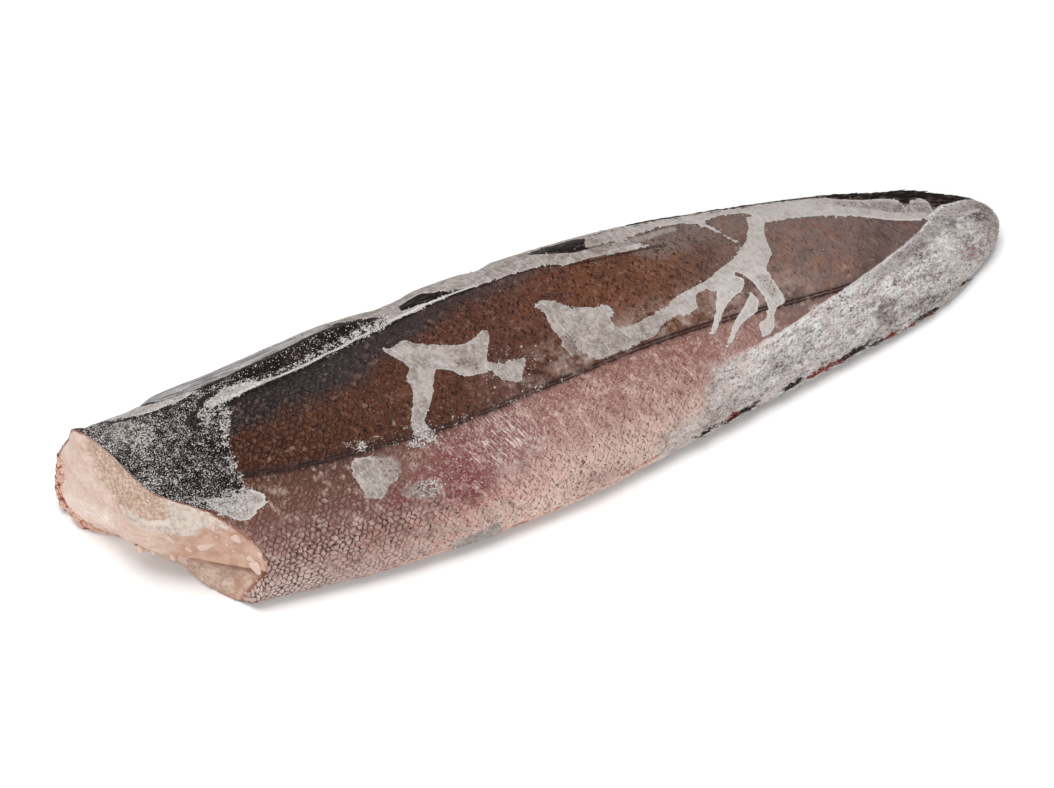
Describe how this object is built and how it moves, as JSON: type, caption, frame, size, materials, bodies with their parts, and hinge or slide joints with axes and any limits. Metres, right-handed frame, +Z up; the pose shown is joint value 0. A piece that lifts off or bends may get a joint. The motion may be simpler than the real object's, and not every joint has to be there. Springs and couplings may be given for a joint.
{
  "type": "frozen hake trunk",
  "caption": "Frozen hake trunk without head or tail fin, flat on its side, with a slanting head cut, frost-patched brown skin and a rounded tail stump.",
  "frame": {"origin": "Middle of the footprint, on the flat underside that the fish rests on.", "axes": "+X runs from the head cut to the tail stump, +Y points to the fish's back, and +Z points up, out of its left flank."},
  "size_m": [0.4218, 0.1046, 0.0624],
  "materials": {
    "frozen_skin": "satin"
  },
  "bodies": {
    "root": {"hake": "frozen_skin"}
  },
  "joints": []
}
